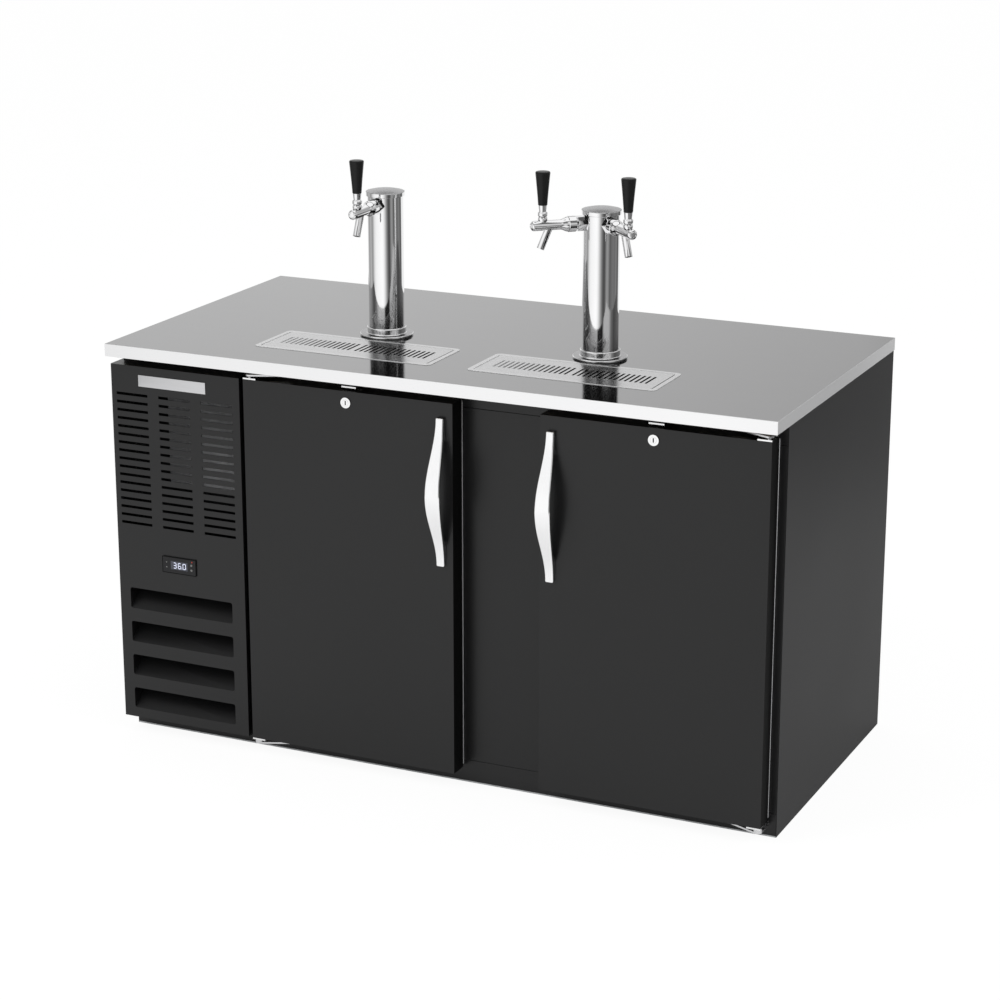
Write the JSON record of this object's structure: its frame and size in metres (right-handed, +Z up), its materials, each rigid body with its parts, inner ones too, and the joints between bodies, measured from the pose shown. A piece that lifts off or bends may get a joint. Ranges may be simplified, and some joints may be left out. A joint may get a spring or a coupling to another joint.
{
  "type": "direct draw beer dispenser",
  "caption": "Low keg cooler with hinged doors, a side machine compartment behind a grille, and draught columns with lever faucets over drip trays on a stainless countertop.",
  "frame": {"origin": "on the floor below the middle of the countertop", "axes": "+X along the cabinet to the viewer's right, -Y towards the front with the doors, +Z up"},
  "size_m": [1.499, 0.783, 1.276],
  "materials": {
    "black_steel": "satin black powder coat",
    "stainless": "brushed along the length",
    "galvanised": "plain galvanised sheet",
    "core_board": "raw board",
    "foam": "foamed in place",
    "door_liner": "moulded inner panel",
    "gasket": "grey magnetic gasket",
    "black_rubber": "matt black",
    "chrome": "polished",
    "zinc": "zinc plated",
    "handle_chrome": "polished casting",
    "plunger_steel": "turned",
    "black_gloss": "moulded, glossy",
    "controller": "moulded",
    "display": "dark window",
    "compressor_paint": "black enamel",
    "fins": "finned",
    "motor_paint": "grey enamel",
    "fan_plastic": "moulded",
    "copper": "drawn copper",
    "white_plastic": "moulded"
  },
  "bodies": {
    "cabinet": {"side_panels": "black_steel", "back_panel": "black_steel", "rear_cover": "black_steel", "front_frame": "black_steel", "grille_panel": "black_steel", "countertop": "stainless", "drip_trays": "stainless", "base_pan": "galvanised", "inner_liner": "galvanised", "fan_shroud": "galvanised", "control_box": "galvanised", "countertop_core": "core_board", "wall_insulation": "foam", "cord_grommet": "black_rubber", "compressor_feet": "black_rubber", "column_gaskets": "black_rubber", "column_tubes": "chrome", "column_flanges": "chrome", "column_caps": "chrome", "shanks": "chrome", "faucet_nuts": "chrome", "faucet_bodies": "chrome", "hinge_brackets": "zinc", "strike_plates": "zinc", "controller_case": "controller", "display_window": "display", "compressor": "compressor_paint", "condenser_coil": "fins", "evaporator_coil": "fins", "fan_motors": "motor_paint", "refrigerant_lines": "copper", "evaporator_cover": "white_plastic"},
    "left_door": {"left_door_skin": "black_steel", "left_door_liner": "door_liner", "left_door_gasket": "gasket", "left_door_handle": "handle_chrome", "left_door_fittings": "chrome"},
    "left_lock": {"left_lock_plug": "chrome"},
    "right_door": {"right_door_skin": "black_steel", "right_door_liner": "door_liner", "right_door_gasket": "gasket", "right_door_handle": "handle_chrome", "right_door_fittings": "chrome"},
    "right_lock": {"right_lock_plug": "chrome"},
    "condenser_fan_body": {"condenser_fan": "fan_plastic"},
    "evaporator_fan_body": {"evaporator_fan": "fan_plastic"},
    "key_up_body": {"key_up": "controller"},
    "key_down_body": {"key_down": "controller"},
    "left_grid": {"left_drip_grid": "stainless"},
    "right_grid": {"right_drip_grid": "stainless"},
    "single_tap_lever_body": {"single_tap_lever": "chrome", "single_tap_handle": "black_gloss"},
    "single_tap_valve_body": {"single_tap_plunger": "plunger_steel"},
    "left_tap_lever_body": {"left_tap_lever": "chrome", "left_tap_handle": "black_gloss"},
    "left_tap_valve_body": {"left_tap_plunger": "plunger_steel"},
    "right_tap_lever_body": {"right_tap_lever": "chrome", "right_tap_handle": "black_gloss"},
    "right_tap_valve_body": {"right_tap_plunger": "plunger_steel"}
  },
  "joints": [
    {"name": "left_door_swing", "type": "hinge", "parent": "cabinet", "child": "left_door", "pos_m": [-0.416, -0.346, 0.435], "axis": [0, 0, -1], "range_deg": [0, 110]},
    {"name": "right_door_swing", "type": "hinge", "parent": "cabinet", "child": "right_door", "pos_m": [0.7225, -0.346, 0.435], "axis": [0, 0, 1], "range_deg": [0, 110]},
    {"name": "left_lock_turn", "type": "hinge", "parent": "left_door", "child": "left_lock", "pos_m": [-0.1845, -0.346, 0.81], "axis": [0, -1, 0], "range_deg": [0, 90]},
    {"name": "right_lock_turn", "type": "hinge", "parent": "right_door", "child": "right_lock", "pos_m": [0.491, -0.346, 0.81], "axis": [0, 1, 0], "range_deg": [0, 90]},
    {"name": "condenser_fan_spin", "type": "hinge", "parent": "cabinet", "child": "condenser_fan_body", "pos_m": [-0.5918, -0.21, 0.19], "axis": [0, 1, 0], "continuous": true},
    {"name": "evaporator_fan_spin", "type": "hinge", "parent": "cabinet", "child": "evaporator_fan_body", "pos_m": [-0.2787, 0.231, 0.7406], "axis": [1, 0, 0], "continuous": true},
    {"name": "key_up_press", "type": "slide", "parent": "cabinet", "child": "key_up_body", "axis": [0, 1, 0], "range_m": [0, 0.0008], "stiffness_N_per_m": 400},
    {"name": "key_down_press", "type": "slide", "parent": "cabinet", "child": "key_down_body", "axis": [0, 1, 0], "range_m": [0, 0.0008], "stiffness_N_per_m": 400},
    {"name": "left_grid_lift", "type": "slide", "parent": "cabinet", "child": "left_grid", "axis": [0, 0, 1], "range_m": [0, 0.05]},
    {"name": "right_grid_lift", "type": "slide", "parent": "cabinet", "child": "right_grid", "axis": [0, 0, 1], "range_m": [0, 0.05]},
    {"name": "single_tap_pull", "type": "hinge", "parent": "cabinet", "child": "single_tap_lever_body", "pos_m": [-0.2475, -0.1765, 1.178], "axis": [1, 0, 0], "range_deg": [0, 35]},
    {"name": "single_tap_valve", "type": "slide", "parent": "cabinet", "child": "single_tap_valve_body", "axis": [0, 1, 0], "range_m": [0, 0.00765]},
    {"name": "left_tap_pull", "type": "hinge", "parent": "cabinet", "child": "left_tap_lever_body", "pos_m": [0.15423, -0.13546, 1.178], "axis": [0.6756, -0.7373, 0], "range_deg": [0, 35]},
    {"name": "left_tap_valve", "type": "slide", "parent": "cabinet", "child": "left_tap_valve_body", "axis": [0.7373, 0.6756, 0], "range_m": [0, 0.00765]},
    {"name": "right_tap_pull", "type": "hinge", "parent": "cabinet", "child": "right_tap_lever_body", "pos_m": [0.34077, -0.13546, 1.178], "axis": [0.6756, 0.7373, 0], "range_deg": [0, 35]},
    {"name": "right_tap_valve", "type": "slide", "parent": "cabinet", "child": "right_tap_valve_body", "axis": [-0.7373, 0.6756, 0], "range_m": [0, 0.00765]}
  ],
  "couplings": [
    {"joint": "single_tap_valve", "follows": "single_tap_pull", "m_per_rad": 0.0125},
    {"joint": "left_tap_valve", "follows": "left_tap_pull", "m_per_rad": 0.0125},
    {"joint": "right_tap_valve", "follows": "right_tap_pull", "m_per_rad": 0.0125}
  ]
}
